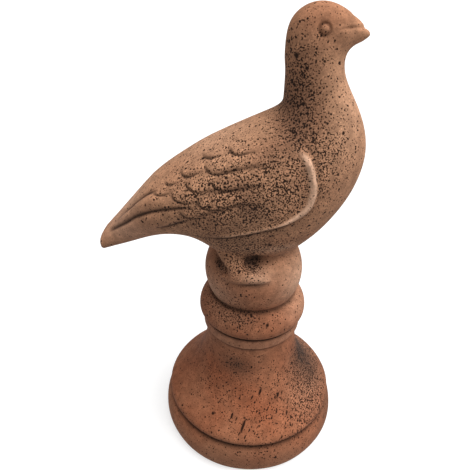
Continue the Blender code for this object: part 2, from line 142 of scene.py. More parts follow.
# The wing: u runs back along a line that slopes down to the tail, v up across it. Its edge runs from
# the tip forwards along the bottom, round the front and back over the top
WING_FRONT = (41.0, 73.0)
WING_SLOPE = math.radians(17.2)
WING_EDGE = [
    (160, -1), (130, -6), (108, -10), (85, -14), (70, -15.7), (41, -16.6), (29, -17.1), (18, -16.4),
    (10.8, -14.6), (4.9, -11), (1.5, -6.3), (-1.6, 0.5), (-3, 9), (-3.2, 17.4), (-2.2, 25), (0.5, 31.5),
    (5.5, 38), (17, 43.5), (40, 45), (70, 43.5), (93, 35.5), (127, 20.5), (160, -1)
]
EDGE_POINTS = 220
WING_FIELD = 1.0  # how far the wing stands out of the body
WING_FADE = (9.0, 6.0)  # how far inside the rim and the shoulder the carving has its full depth
FIELD_THINNER = 0.9  # share of the field's height that is lost along the bottom towards the tip
THINNER_ALONG = (70.0, 115.0)  # the u over which this grows in
THINNER_ABOVE = (-2.0, 10.0)  # and the v over which it dies away
# The rim, at the front and along the bottom
WING_RIM = (3.3, 2.2)  # how far it stands out
RIM_CREST = (4.6, 1.5)  # how far inside the edge its crest runs
RIM_WIDTH = (2.2, 1.5)
RIM_NARROWS = (10.0, 36.0)  # the u over which the front turns into the bottom
RIM_SHOULDER = (3.0, 34.0)  # the place on the edge where the rim gives way to the shoulder
RIM_TOP = (20.0, 38.0)
RIM_END = (66.0, 96.0)
BORDER_RISE = (2.4, 8.0)  # the field rises over this width at the rim, and over so much more past it
EDGE_SHADOW_WIDTH = 1.3  # how wide the painted shadow lies just outside the wing's edge
EDGE_SHADOW_FRONT = 0.4  # how strong it is at the front, against 1 along the bottom
EDGE_SHADOW_END = (114.0, 92.0)  # the u over which it ends
RIM_COVER = (2.8, 0.7)  # how pale the rim's crest is worn at the front and along the bottom
COVER_POWER = 1.5  # over 1, so that the wear keeps to the crest
SHOULDER_FADE = 16.0  # how gently the field rises from the shoulder
TIP_EDGE = 5.0  # and from the upper edge at the tip
TIP_START = (100.0, 116.0)
SIDEWAYS = (0.12, 0.38)  # how squarely the skin faces sideways where the wing's relief begins

# Feathers: the tip's u and v, half width, length, and rise for each millimetre forwards
FEATHERS = [
    (83.5, 41.5, 3.2, 13, 0.2), (70.5, 41.5, 3.2, 18, 0.06), (50.0, 41.2, 4.2, 24, 0),
    (88.2, 34.5, 4.0, 21, 0.15), (68.5, 34.5, 5.1, 34, 0), (103, 31, 4.0, 15, 0.22),
    (84.5, 27.8, 6.3, 16, 0), (65.5, 25, 6.8, 24, 0), (112.0, 26.0, 4.6, 20, 0.2),
    (96.8, 22.8, 6.4, 19, 0), (94, 11, 6.2, 23, 0), (79.5, 16, 7.8, 20, 0),
]
# Folds between the rows, where the feathers have no tips, as lines of u and v
FOLDS = [
    [(70, 31.3), (54, 29.4), (38.7, 29), (25.8, 25.7)],
    [(79.5, 22.7), (62.2, 19.4), (41.8, 17.1), (31, 16.4)],
    [(84.9, 5), (71, 7.1), (59.9, 7.7), (48, 6.9), (36, 1.8)],
]
FOLD_POINTS = 30
FOLD_DEPTH = 0.5
FOLD_WIDTH = 1.5
# how much painted shade and dirt lies in a fold's line
FOLD_SHADE_AND_DIRT = 0.7
FEATHER_TIP = 1.8  # length of a feather's round tip, in half widths
FEATHER_FULL = 0.3  # share of its length over which it keeps its height
FEATHER_SINKS = 0.45  # how far under its middle, in half widths, it begins to sink upwards
FEATHER_LIFT = 0.6
FEATHER_EDGE = 0.9
FEATHER_LAP = 0.3  # share of its rise that lies outside its edge
LINE_DEPTH = 0.4
LINE_WIDTH = 0.6
LINE_OUT = 0.5  # how far outside a feather's edge its line runs
FEATHER_FADE = (22.0, 44.0)

# The long quills at the wing's tip are rolls between three lines
QUILL_TOP = [
    (96.0, 25.0), (107.0, 24.4), (115.6, 23.6), (124.5, 20.2), (137.2, 13.9), (146.5, 9.3), (160, 2.6)
]
QUILL_MIDDLE = [
    (84.0, 12.5), (94.6, 13.7), (103.5, 13.9), (113.2, 13.5), (123.5, 11.9), (132.1, 9.7), (144.2, 4.8),
    (153.1, 1.9), (164, -1.8)
]
QUILL_BOTTOM = [
    (86.0, 2.6), (98.0, 2.8), (106.0, 0.8), (116.0, -1.0), (128.0, -2.4), (142.0, -2.6), (164, -4.0)
]
QUILL_POINTS = 50
QUILL_LIFTS = (0.36, 0.12)  # height of the upper and the lower roll, in widths
QUILL_LEAST = 0.1  # least width of a roll
QUILL_MOST = 3.0  # greatest height of one
QUILL_START = (92.0, 122.0)
QUILL_END = (144.0, 160.0)
# Each line, and where it grows in and dies away
QUILL_LINES = [
    (QUILL_TOP, (108.0, 117.0), (152.0, 160.0)),
    (QUILL_MIDDLE, (82.0, 94.0), (158.0, 168.0)),
    (QUILL_BOTTOM, (90.0, 98.0), (108.0, 124.0)),
]
QUILL_LEANS = (0.66, 0.45)  # share of the way up from a roll's bottom line to its top line at its crest
QUILL_LINE_DEPTH = 0.8
QUILL_LINE_WIDTH = 1.1
QUILL_ROUNDS = 3  # extra softening over the quills
WINGS_FROM = -2.0  # the lowest height over the belly's point that the wings' carving reaches
WING_SHADE_AND_DIRT = 1.25  # strength of the painted shade and dirt in the wings' lines

# The head
HEAD_FROM = 150.0
HEAD_SHADE_AND_DIRT = 0.5  # strength of the painted shade and dirt in the face's lines
FACE_POINTS = 40
FACE_START = (0.4, 0.5)  # strength of a face line at its start, and the share over which it grows full
EYE_PLACE = (37.0, 170.7)
EYE_RADIUS = 2.9
EYE_RISE = 1.9
EYE_GROOVE = (3.6, 0.8, 0.9)  # its distance from the eye's middle, half width and depth
EYE_HOLLOW = (7.5, 1.0)  # radius and depth of the soft hollow round the eye
MOUTH_LINE = [(44.0, 170.0), (49.6, 171.1), (55.0, 171.4), (60.5, 171.1), (67.0, 170.2)]
MOUTH_CLEAN = (59.0, 53.0)  # the mouth's line has no painted shade and dirt in front of the first place and its full share behind the other
MOUTH_DEPTH = 0.9
MOUTH_WIDTH = 0.95
LORE_PLACE = (46.5, 173.5)  # the hollow between the eye and the beak, over the mouth's line
LORE_HOLLOW = (5.0, 2.4, 0.6)  # its half length, half height and depth
CERE_LINE = [(54.4, 181.0), (55.6, 177.3), (57.4, 173.6)]
CERE_DEPTH = 0.4
CERE_WIDTH = 1.3

# Leg and foot in relief on the ball, from its centre: x, y and z of the middle, then half the length
# along x and half the depth
LEG_SECTIONS = [
    (-16.0, 20.0, 42.0, 10.0, 7.5),
    (-17.0, 26.0, 34.0, 13.0, 9.0),
    (-16.2, 29.5, 27.0, 10.8, 8.2),
    (-13.0, 33.2, 21.0, 7.3, 6.8),
    (-12.6, 35.6, 15.5, 6.4, 5.8),
    (-12.0, 36.6, 12.0, 4.8, 4.4),
]
# x, y and z of the middle, then half the depth and half the height
FOOT_SECTIONS = [
    (-25.0, 31.4, 10.8, 2.0, 1.6),
    (-20.5, 34.4, 11.8, 3.6, 2.8),
    (-14.0, 37.2, 14.2, 5.0, 5.0),
    (-6.0, 38.4, 15.9, 5.6, 6.0),
    (2.5, 38.6, 15.7, 5.2, 5.0),
    (9.5, 37.6, 14.4, 4.6, 4.0),
    (14.0, 36.2, 13.6, 3.2, 2.3),
]
LIMB_RINGS = 70
LIMB_SIDES = 56

# Softening: a light pass everywhere, a stronger one round the feet and a strong one under the belly,
# each the number of times that points move towards their neighbours
SKIN_ROUNDS = 3
FOOT_ROUNDS = 1
BELLY_ROUNDS = 10
CARVE_ROUNDS = 2
SEAM_ROUNDS = 4
SOFTENING = 0.5
# Where the softening of feet and belly grows in: inwards to the axis, down the body, up to the feet, and
# up from the feet to the belly
SOFT_OUT = (66.0, 52.0)
SOFT_UP = (BELLY_HEIGHT + 28, BELLY_HEIGHT + 16)
SOFT_FEET = (BALL_CENTRE - 8, BALL_CENTRE)
SOFT_BELLY = (BALL_CENTRE + 12, BALL_CENTRE + 24)
SEAM_WIDTH = 1.2
SEAM_FROM = 30.0  # the seam of ball and ring lies farther from the axis than this
MOST_TRIANGLES = 192000

# Hollows beside the leg: x, y and z of the middle, the reach along each, and the depth
PITS = [
    (1.5, 34.0, 202.5, 6.0, 12.0, 5.0, 3.8),
    (9.0, 33.0, 203.0, 7.0, 12.0, 5.0, 1.8),
    (-27.5, 25.0, 198.0, 4.5, 10.0, 7.0, 2.8),
]

# Weathering: each patch is its middle (x, y, z), its reach along x, y and z, and its strength
SPRAY = [
    (-24, 42, 254, 42, 60, 28, 1.0),  # wing
    (-6, 30, 284, 40, 40, 16, 0.35),  # top of the wing
    (15, 40, 266, 26, 60, 24, 0.95),  # front of the wing
    (24, 15, 320, 17, 40, 38, 0.95),  # side of the neck
    (42, 28, 288, 20, 40, 30, 0.8),  # side of the breast
    (30, 15, 350, 12, 30, 10, 0.4),  # cheek
    (-6, 40, 220, 34, 40, 12, 0.9),  # belly
    (-14, 34, 206, 12, 20, 14, 0.7),  # leg
    (-84, 24, 238, 22, 40, 12, 0.05),  # tail
    (-2, 35, 198, 9, 12, 9, 1.0),  # hollow before the leg
    (-25, 29, 193, 7, 12, 8, 0.9),  # hollow behind the leg
    (-14, 36, 166, 22, 24, 14, 0.45),  # ball
    (-15, 40, 150, 30, 30, 8, 0.8),  # top of the ring
    (-34, 22, 150, 14, 24, 10, 0.35),  # the ring's tail side
    (60, 24, 62, 22, 44, 30, 1.0),  # the bell's breast side
    (48, 0, 84, 20, 30, 16, 0.9),  # the same, higher up
    (10, 60, 50, 60, 60, 50, 0.3),  # front of the bell
    (-30, 40, 75, 24, 40, 14, 0.3),  # the bell's tail side
    (-12, 44, 97, 18, 40, 12, 0.4),  # top of the bell
    (0, 0, 200, 300, 300, 300, 0.08),  # everywhere
]
SOOT = [
    (-15, 44, 236, 34, 60, 14, 0.28),  # lower half of the wing
    (-4, 47, 254, 11, 30, 7, 0.5),  # middle of the wing
    (-11, 46, 270, 12, 30, 6, 0.3),  # upper half of the wing
    (8, 42, 288, 9, 30, 6, 0.3),  # shoulder
    (24, 16, 312, 15, 40, 30, 0.6),  # side of the neck
    (-8, 42, 224.5, 23, 30, 5.5, 0.22),  # under the wing
    (0, 33, 203.5, 8.5, 12, 5.5, 1.0),  # soot and painted shade in the hollow before the leg
    (-2, 33, 203.5, 6, 12, 5, 0.9),  # the same, close to the leg, soot and painted shade
    (-27, 26, 196, 6, 12, 7, 0.9),  # soot and painted shade in the hollow behind the leg
    (52, 0, 80, 20, 32, 18, 1.0),  # the bell's breast side
    (66, 0, 64, 14, 28, 16, 0.8),  # the same, lower down
    (80, 20, 24, 14, 40, 20, 0.6),  # the band's breast side
    (0, 84, 22, 60, 30, 14, 0.35),  # front of the band
    (-10, 43, 96, 15, 20, 10, 0.65),  # top of the bell, soot and painted shade under the ring
    (-10, 40, 150, 24, 20, 5, 0.4),  # top of the ring
]
WARM = [
    (40, 0, 366, 26, 30, 16, 0.5),  # crown
    (35, 0, 215, 30, 40, 22, 0.5),  # under the breast
    (0, 0, 60, 200, 200, 90, 0.98),  # band and bell
    (0, 0, 140, 200, 200, 24, 0.6),  # ring
    (26, 20, 318, 18, 40, 34, 0.45),  # side of the neck
    (0, 0, 178, 200, 200, 18, 0.62),  # ball
    (-96, 20, 220, 30, 50, 16, 0.6),  # tail
]
PALE = [
    (56, 0, 300, 14, 22, 36, 0.5),  # breast
    (-40, 0, 295, 40, 30, 20, 0.35),  # back
    (-104, 0, 236, 26, 40, 20, 0.5),  # top of the tail
    (4, 42, 192, 12, 20, 6, 0.5),  # toes
    (18, 38, 217.5, 20, 20, 4, 0.5),  # belly before the leg
    (38, 16, 178, 18, 40, 20, 0.65),  # the ball's breast side
    (44, 14, 146, 18, 40, 10, 0.25),  # the ring's breast side
    (-98, 24, 218, 24, 30, 12, 0.45),  # side of the tail
    (-30, 14, 168, 18, 40, 16, 0.5),  # painted light on the ball's shaded tail side
    (0, 0, 123, 70, 70, 5, 0.3),  # fillet
    (62, 22, 64, 26, 44, 30, 0.15),  # the bell's breast side
]
RUNS = [
    (56, 50, 56, 30, 40, 26, 1.0),  # the bell's breast side
    (10, 65, 50, 30, 30, 30, 0.35),  # front of the bell
]
LIMB_CLEAR = (0.8, 2.6)  # a leg that stands this far out of the ball keeps clear of the soot
CLEAR_SHARE = 0.85  # share of it that is worn off there, and of spray and soot on the wing's rim
LIMB_BOTTOM = BALL_CENTRE + 5
LIMB_TOP = (BALL_CENTRE + 40, BALL_CENTRE + 33)
LEG_FRONT = (-5.0, -8.0)
FOOT_TOP = (BALL_CENTRE + 24, BALL_CENTRE + 20)
# Lines of painted shade in the creases round the stem, a painted shadow under the bell's lip among them:
# height, half width and strength
STEM_SHADE_LINES = [
    (BAND_HEIGHT - 1.0, 2.8, 0.65), (FILLET_BOTTOM - 1.4, 1.3, 1.4), (RING_BOTTOM - 0.6, 2.2, 1.0),
    (RING_TOP, 1.6, 0.4),
]
FOOT_SHADOW = [(-5, 40, 185.7, 15, 12, 1.4, 0.9)]  # painted shadow under the foot, as a patch
MASKS = ("spray", "soot", "warm", "pale", "line", "runs")
# Spots and strokes of paint: x, y and z of the middle, half length down the bell's slope, half width
BLOTS = [
    (21.4, -13.1, 347.7, 2.2, 1.7), (26.5, -16.0, 338.0, 0.9, 0.9), (23.8, -14.7, 327.5, 1.0, 0.9),
    (28.1, -19.1, 319.9, 1.3, 1.2), (24.6, -18.4, 318.2, 1.1, 1.0), (-20.3, -39.1, 275.0, 1.2, 1.1),
    (-22.6, -44.4, 264.9, 1.1, 1.0), (-28.1, -45.6, 244.4, 1.2, 1.0), (-3.1, -46.5, 245.3, 1.2, 0.9),
    (13.8, -42.1, 147.2, 1.6, 1.3), (-2.7, -69.0, 50.7, 7.6, 1.1), (11.0, -49.8, 73.8, 4.2, 1.0),
    (27.5, -46.9, 68.3, 2.6, 1.2), (-30.4, -59.2, 53.2, 1.4, 1.3),
]
RUN_WAY = (-0.3, -0.6, -0.74)  # down the bell's slope
RUN_STRETCH = 3.4  # how many times as long as wide a speck of a run is
# Specks: size of the cell that holds one, radii, and the share of the cells that the thickest spray fills
SPECKS = [(2.2, (0.65, 0.95), 0.7), (5.5, (0.9, 1.35), 0.4)]
RUN_SPECKS = [(1.7, (0.45, 0.75), 0.75), (3.2, (0.6, 1.0), 0.7)]
SPECK_EDGE = 0.2
SPECK_SHAKE = 0.9  # how far the grit shakes a speck's edge
PAINT_COVER = 0.95

# The clay's noises, each as its size, detail and roughness: broad changes of warmth, blotches, grit, and
# the finest spray, which is drawn as coarse as it needs to show in the picture
NOISES = [(45.0, 3.0, 0.5), (7.0, 4.0, 0.65), (1.3, 3.0, 0.7), (1.05, 0.0, 0.5)]
# Levels of a noise or a mask, and the shares that they become
RANGE = ("From Min", "From Max", "To Min", "To Max")
WARMTH = (0.35, 0.65, -0.13, 0.13)
MOTTLE = (0.38, 0.62, 0.8, 1.14)
FLECKS = (0.3, 0.7, 0.8, 1.2)
SOOT_PATCHES = (0.3, 0.65, 0.45, 1.2)
SPRAY_CROWDS = (0.35, 0.65, 0.75, 1.2)
SPRAY_LEVELS = (0.0, 1.0, 0.77, 0.53)  # of the finest noise, over which it is dark in thin and thick spray
SPRAY_EDGE = 0.02  # over so much of the noise it turns from clear to dark
SPRAY_SOOT = 0.22  # how sooty the thickest spray is
BARE_LEVELS = (0.0, 1.0, 0.2, 0.45)  # under these the clay between the specks shows pale
BARE_EDGE = 0.1  # over so much of the noise it turns pale
BARE_LIFT = 1.45  # how many times as light it is there
BLOT_EDGE = (1.3, 0.7, 0.0, 1.0)
HOLLOW_SHADE_AND_DIRT = (0.92, 0.45, 0.0, 0.75)  # painted shade and dirt, of how open a place is
PALE_SHADE_AND_DIRT = (0.0, 1.0, 1.0, 0.25)  # pale places keep less of it
LINE_SHADE_AND_DIRT = 0.7  # how dark the painted shade and dirt is in the lines
RIDGE_WEAR = (0.8, 0.3, 0.0, 0.35)  # of how open a place is, looked at from inside the clay
ROUGHNESS = (0.3, 0.7, 0.82, 0.96)

CLAY = "#c59270"
WARM_CLAY = "#9e5e40"
PALE_CLAY = "#e8ba9b"
SOOT_COLOUR = "#523c30"
SHADE_AND_DIRT_COLOUR = "#2a1b14"
# the colour of the painted shade and dirt in hollows and lines
WORN_COLOUR = "#d9a884"
SPECK_COLOUR = "#1a0c07"
HOLLOW_SHADE_REACH = 7.0  # how far round a hollow the painted shade and dirt reach
RIDGE_REACH = 2.5  # how wide a worn ridge is
HOLLOW_SAMPLES = 8
RIDGE_SAMPLES = 6
GRAIN_HEIGHT = 0.25
GRAIN_STRENGTH = 0.35
SHEEN = 0.15  # the chalky skin gives back less of the light than a smooth one
MILLIMETRES = 1000.0  # in a metre

FLOOR_SIZE = 60.0
FLOOR_COLOUR = "#b9b9b9"
FLOOR_ROUGHNESS = 0.9
FLOOR_GLOW = 0.64
WHITE = "#ffffff"
ROOM_LIGHT = 0.3
KEY_LIGHT = 3.4
KEY_WIDTH = math.radians(60)
KEY_FROM = (0.42, -0.12, 1.0)

# The camera looks down at the finial from in front of its right side
CAMERA_PLACE = (0.0, -0.317, 0.400)
CAMERA_TILT = math.radians(33.24)
CAMERA_YAW = math.radians(-2.63)
CAMERA_ROLL = math.radians(1.04)
CAMERA_NEAREST = 0.01
PICTURE_SIZE = 470
FOCUS_PIXELS = 450.0
VIEW_MIDDLE = (236.9, 249.0)
SENSOR_WIDTH = 36.0


def smooth_step(value):
    """0 below 0, 1 above 1, and between them 3 squares less 2 cubes."""
    t = np.clip(value, 0.0, 1.0)
    return t * t * (3.0 - 2.0 * t)


def fade(value, ends):
    """A smooth rise from 0 to 1 between two ends."""
    return smooth_step((value - ends[0]) / (ends[1] - ends[0]))


def bell_curve(value, width):
    """1 at 0, falling off on both sides: e to the power of minus the square of value over width."""
    return np.exp(-((value / width) ** 2))


def mound(points, middle, reach):
    """A bell curve of the distance from a place, with its own reach along each axis."""
    return np.exp(-(((points - np.array(middle)) / np.array(reach)) ** 2).sum(axis=1))


def one_side(points):
    """Points with the dove's two sides laid on one: y without its sign."""
    return np.stack([points[:, 0], np.abs(points[:, 1]), points[:, 2]], axis=1)


def cubic(start, handle, far_handle, end, count=80):
    """A cubic curve: each point is the sum of the four, weighed by the terms of (1 - t + t) cubed."""
    t = np.linspace(0.0, 1.0, count)[:, None]
    weights = ((1 - t) ** 3, 3 * (1 - t) ** 2 * t, 3 * (1 - t) * t**2, t**3)
    return sum(weight * np.array(point) for weight, point in zip(weights, (start, handle, far_handle, end)))


def smooth_line(points, knots, at):
    """A smooth line through points at their knots, read at other places.

    Each stretch is a cubic with the right place and slope at both ends; the slope at an inner point is
    that of the parabola through it and its two neighbours.
    """
    points = np.asarray(points, float)
    steps = np.diff(knots)[:, None]
    chords = np.diff(points, axis=0) / steps
    inner = (chords[:-1] * steps[1:] + chords[1:] * steps[:-1]) / (steps[:-1] + steps[1:])
    slopes = np.vstack([chords[:1], inner, chords[-1:]])
    i = np.clip(np.searchsorted(knots, at, side="right") - 1, 0, len(steps) - 1)
    step = steps[i]
    t = (np.asarray(at) - knots[i])[:, None] / step
    return (
        (2 * t**3 - 3 * t**2 + 1) * points[i]
        + (t**3 - 2 * t**2 + t) * step * slopes[i]
        + (3 * t**2 - 2 * t**3) * points[i + 1]
        + (t**3 - t**2) * step * slopes[i + 1]
    )


def line_through(points, count):
    """Evenly spaced points on a smooth line through the given ones."""
    lengths = np.linalg.norm(np.diff(np.asarray(points, float), axis=0), axis=1)
    knots = np.concatenate([[0.0], np.cumsum(lengths)])
    return smooth_line(points, knots, np.linspace(0.0, knots[-1], count))


def nearest_on(points, line):
    """For each point: its distance to a line, the least over the line's straight steps, and the share of
    the line's length at the nearest place.
    """
    steps = np.diff(line, axis=0)
    lengths = np.linalg.norm(steps, axis=1)
    starts = np.concatenate([[0.0], np.cumsum(lengths)])
    distance, share = np.full(len(points), np.inf), np.zeros(len(points))
    for corner, step, length, start in zip(line, steps, lengths, starts):
        along = np.clip((points - corner) @ step / length**2, 0.0, 1.0)
        gap = points - corner - along[:, None] * step
        far = np.hypot(gap[:, 0], gap[:, 1])
        nearer = far < distance
        distance[nearer] = far[nearer]
        share[nearer] = ((start + along * length) / starts[-1])[nearer]
    return distance, share


def inside_outline(points, outline):
    """True where a line to the right of the point crosses the outline an odd number of times."""
    inside = np.zeros(len(points), bool)
    for start, end in zip(outline, np.roll(outline, -1, axis=0)):
        spans = (start[1] > points[:, 1]) != (end[1] > points[:, 1])
        if end[1] != start[1]:
            reach = start[0] + (points[:, 1] - start[1]) * (end[0] - start[0]) / (end[1] - start[1])
            inside ^= spans & (points[:, 0] < reach)
    return inside


def stem_outline():
    """Half section of the stem, from the middle of its underside up to its seat inside the ball.

    Band, bell, cove and ring are cubic curves, whose middle is a quarter of the mean of their ends and
    three quarters of that of their handles. The whole line is read at even steps, averaged over a
    bell-shaped window that rounds its edges, and thinned where it is straight.
    """
    foot_edge, rim = FOOT_RADIUS - BAND_UNDERCUT, FOOT_RADIUS - BAND_STEP
    band_top, bell_bottom = BAND_HEIGHT - CREASE_HEIGHT / 2, BAND_HEIGHT + CREASE_HEIGHT / 2
    band_reach = (4 * FOOT_RADIUS - (foot_edge + rim) / 2) / 3
    band = [(band_reach, share * BAND_HEIGHT) for share in BAND_FULLNESS]
    bell = [
        (rim + BELL_SWELL, BAND_HEIGHT + BELL_FULLNESS[0] * BELL_HEIGHT),
        (NECK_RADIUS, BAND_HEIGHT + BELL_FULLNESS[1] * BELL_HEIGHT),
    ]
    cove_handle = (FILLET_RADIUS - COVE_HANDLE[0], FILLET_BOTTOM - COVE_HANDLE[1])
    cove_top = (FILLET_RADIUS - COVE_STEP, FILLET_BOTTOM)
    lip = FILLET_RADIUS + RING_LIP[0] * (RING_RADIUS - FILLET_RADIUS)
    lip_height = RING_BOTTOM + RING_LIP[1] * RING_HEIGHT
    seat = math.sqrt(BALL_RADIUS**2 - (BALL_CENTRE - RING_TOP) ** 2)
    ring_reach = (4 * RING_RADIUS - (lip + seat) / 2) / 3
    ring = [(ring_reach, lip_height + share * (RING_TOP - lip_height)) for share in RING_FULLNESS]
    line = np.vstack([
        [(0.0, 0.0)],
        cubic((foot_edge, 0.0), *band, (rim, band_top)),
        [(rim - CREASE_DEPTH, BAND_HEIGHT)],
        cubic((rim + BELL_LIP, bell_bottom), *bell, (NECK_RADIUS, NECK_TOP)),
        cubic((NECK_RADIUS, NECK_TOP), (NECK_RADIUS, NECK_TOP + COVE_START), cove_handle, cove_top)[1:],
        [(FILLET_RADIUS, FILLET_BOTTOM + FILLET_SLOPE), (FILLET_RADIUS, RING_BOTTOM - GROOVE_HEIGHT)],
        [(FILLET_RADIUS - GROOVE_DEPTH, RING_BOTTOM + GROOVE_TOP)],
        cubic((lip, lip_height), *ring, (seat, RING_TOP)),
        [(seat - SEAT_DEPTH, RING_TOP - SEAT_DROP)],
    ])
    lengths = np.concatenate([[0.0], np.cumsum(np.linalg.norm(np.diff(line, axis=0), axis=1))])
    even = np.arange(0.0, lengths[-1], OUTLINE_STEP)
    line = np.stack([np.interp(even, lengths, line[:, axis]) for axis in (0, 1)], axis=1)
    half = int(ROUNDING_REACH * EDGE_ROUNDING / OUTLINE_STEP)
    window = np.exp(-0.5 * (np.arange(-half, half + 1) * OUTLINE_STEP / EDGE_ROUNDING) ** 2)
    window /= window.sum()
    inner = np.stack([np.convolve(line[:, axis], window, mode="valid") for axis in (0, 1)], axis=1)
    line = np.vstack([line[:1], inner, line[-1:]])
    bend = np.linalg.norm(np.diff(line, n=2, axis=0), axis=1) / OUTLINE_STEP**2
    wanted = np.concatenate([[0.0], np.cumsum(POINTS_STRAIGHT + np.minimum(bend, POINTS_BENT)), [0.0]])
    wanted[-1] = wanted[-2] + POINTS_STRAIGHT
    places = np.linspace(0.0, wanted[-1], TURNED_POINTS)
    return np.stack([np.interp(places, wanted, line[:, axis]) for axis in (0, 1)], axis=1)


def uneven(points, size, height):
    """The slight unevenness of hand work: the mean of sine waves that cross in skew directions."""
    turns = points @ np.array(UNEVEN_WAYS).T * (2 * math.pi / size) + np.array(UNEVEN_STARTS)
    return height * np.sin(turns).mean(axis=1)


def shell(rings):
    """A closed surface from a grid of rings: its points, its four-sided faces, and a fan at each end."""
    rings = np.asarray(rings)
    count, sides = rings.shape[:2]
    points = np.vstack([rings.reshape(-1, 3), rings[0].mean(axis=0), rings[-1].mean(axis=0)])
    here = np.arange(count * sides).reshape(count, sides)
    beside = np.roll(here, -1, axis=1)
    quads = np.stack([here[:-1], beside[:-1], beside[1:], here[1:]], axis=-1).reshape(-1, 4)
    first = np.stack([beside[0], here[0], np.full(sides, count * sides)], axis=-1)
    last = np.stack([here[-1], beside[-1], np.full(sides, count * sides + 1)], axis=-1)
    return points, quads, np.vstack([first, last])


def cast(name, shells):
    """One object of several closed surfaces, with all their faces turned outwards."""
    points, faces, start = [], [], 0
    for places, quads, fans in shells:
        points.append(places)
        faces += (quads + start).tolist() + (fans + start).tolist()
        start += len(places)
    mesh = bpy.data.meshes.new(name)
    mesh.from_pydata((np.vstack(points) * UNIT).tolist(), [], faces)
    bm = bmesh.new()
    bm.from_mesh(mesh)
    bmesh.ops.recalc_face_normals(bm, faces=bm.faces)
    bm.to_mesh(mesh)
    bm.free()
    made = bpy.data.objects.new(name, mesh)
    bpy.context.scene.collection.objects.link(made)
    return made


def turned_stem():
    """The stem: its outline carried round the axis, radius times cosine and sine of the turn."""
    outline = stem_outline()[1:]
    turns = np.linspace(0.0, 2 * math.pi, TURNED_STEPS, endpoint=False)
    round_ = np.stack([np.cos(turns), np.sin(turns)], axis=1)
    rings = np.concatenate([
        outline[:, None, :1] * round_[None],
        np.repeat(outline[:, None, 1:], TURNED_STEPS, axis=1),
    ], axis=2)
    flat = rings.reshape(-1, 3)
    out = flat * np.array([1.0, 1.0, 0.0])
    out /= np.linalg.norm(out, axis=1)[:, None]
    lift = uneven(flat, *UNEVEN_STEM) * fade(flat[:, 2], UNEVEN_FOOT) * fade(flat[:, 2], UNEVEN_TOP)
    return cast("stem", [shell((flat + out * lift[:, None]).reshape(rings.shape))])


def ball():
    """The ball: rings of latitude, its radius times the sine and cosine of the turn from its top."""
    down = np.linspace(0.0, math.pi, BALL_RINGS)[1:-1, None]
    around = np.linspace(0.0, 2 * math.pi, 2 * BALL_RINGS, endpoint=False)[None]
    level, up = np.sin(down), np.cos(down + 0 * around)
    rings = np.stack([level * np.cos(around), level * np.sin(around), up], axis=-1)
    return shell(BALL_RADIUS * rings + np.array([0.0, 0.0, BALL_CENTRE]))


def body_rows(at):
    """The body's section values read along it, with the knots spaced by the sections' distance.

    Each is the weighed mean over a short stretch on both sides, so that the skin bends without a kink.
    """
    table = np.array(list(BODY_SECTIONS.values()))
    back = np.linalg.norm(np.diff(table[:, 0:2], axis=0), axis=1)
    below = np.linalg.norm(np.diff(table[:, 2:4], axis=0), axis=1)
    knots = np.concatenate([[0.0], np.cumsum(np.sqrt((back + below) / 2))])
    step = np.minimum(BLEND_STEP, np.minimum(at, 1 - at) / 2)
    rows, middle = 0.0, len(BLEND_WEIGHTS) // 2
    for place, weight in enumerate(BLEND_WEIGHTS):
        shifted = (at + (place - middle) * step) * knots[-1]
        rows = rows + weight / sum(BLEND_WEIGHTS) * smooth_line(table, knots, shifted)
    return rows


def body_points(at, turn):
    """Points on the body at a share of its length from the tail and a turn from the back.

    The section is a superellipse: the cosine and sine of the turn, each raised to 2 over the squareness.
    """
    back_x, back_z, below_x, below_z, half_width, squareness, wider = body_rows(at).T
    power = 2.0 / squareness
    up = np.sign(np.cos(turn)) * np.abs(np.cos(turn)) ** power
    out = np.sign(np.sin(turn)) * np.abs(np.sin(turn)) ** power
    x = (back_x + below_x) / 2 + (back_x - below_x) / 2 * up
    z = (back_z + below_z) / 2 + (back_z - below_z) / 2 * up
    return np.stack([x, half_width * out * (1 + wider * up), z], axis=1)


def end_cap(ring, inner_ring, length):
    """Rings that round off an end: the ring shrinks along a quarter ellipse."""
    middle = ring.mean(axis=0)
    ahead = middle - inner_ring.mean(axis=0)
    ahead /= np.linalg.norm(ahead)
    return [middle + (ring - middle) * math.sin(turn) + ahead * length * math.cos(turn) for turn in CAP_TURNS]


def dove_body():
    """Body, neck and head, still plain: rings of the body's sections with both ends rounded off."""
    ways = np.linspace(0.0, 1.0, BODY_RINGS)
    turns = np.linspace(0.0, 2 * math.pi, BODY_SIDES, endpoint=False)
    at, turn = (grid.ravel() for grid in np.meshgrid(ways, turns, indexing="ij"))
    rings = body_points(at, turn).reshape(BODY_RINGS, BODY_SIDES, 3)
    tail = end_cap(rings[0], rings[1], TAIL_CAP)
    beak = end_cap(rings[-1], rings[-2], BEAK_CAP)
    return shell(np.concatenate([tail, rings, beak[::-1]]) + np.array([0.0, 0.0, BELLY_HEIGHT]))


def limb(sections, side, around):
    """A leg or a foot: ovals along a smooth line through its sections, round the named two axes."""
    rows = line_through(sections, LIMB_RINGS)
    turns = np.linspace(0.0, 2 * math.pi, LIMB_SIDES, endpoint=False)
    rings = np.repeat(rows[:, None, :3], LIMB_SIDES, axis=1)
    rings[..., around[0]] += rows[:, None, 3] * np.cos(turns)
    rings[..., around[1]] += rows[:, None, 4] * np.sin(turns)
    rings[..., 1] *= side
    return shell(rings + np.array([0.0, 0.0, BALL_CENTRE]))


def mesh_points(mesh):
    """A mesh's points in drawn millimetres."""
    flat = np.empty(len(mesh.vertices) * 3, np.float32)
    mesh.vertices.foreach_get("co", flat)
    return flat.reshape(-1, 3).astype(float) / UNIT


def mesh_edges(mesh):
    """A mesh's edges as pairs of points."""
    flat = np.empty(len(mesh.edges) * 2, np.int32)
    mesh.edges.foreach_get("vertices", flat)
    return flat.reshape(-1, 2)


